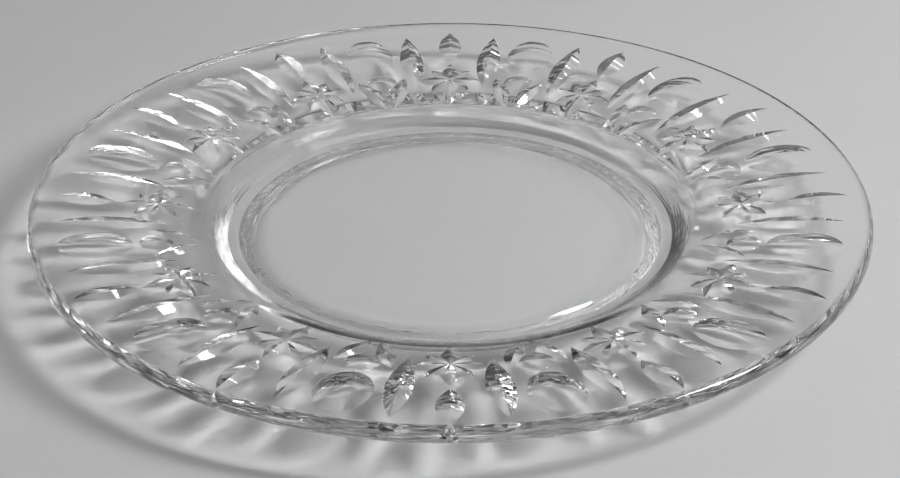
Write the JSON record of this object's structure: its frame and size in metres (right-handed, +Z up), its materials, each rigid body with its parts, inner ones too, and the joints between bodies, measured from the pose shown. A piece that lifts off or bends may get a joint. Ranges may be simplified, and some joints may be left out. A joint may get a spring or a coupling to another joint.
{
  "type": "salad plate",
  "caption": "Round clear cut-glass salad plate with a sunk flat well, a standing foot ring and a wide sloping rim, wheel-cut underneath with stars, spokes, leaves and hollows.",
  "frame": {"origin": "centre of the foot ring's resting face, on the table", "axes": "+Z up along the plate's axis; +X and +Y in the table plane, with one star and spoke of the cutting on +X"},
  "size_m": [0.203, 0.203, 0.0143],
  "materials": {
    "clear_glass": "polished, colourless"
  },
  "bodies": {
    "root": {"plate": "clear_glass"}
  },
  "joints": []
}
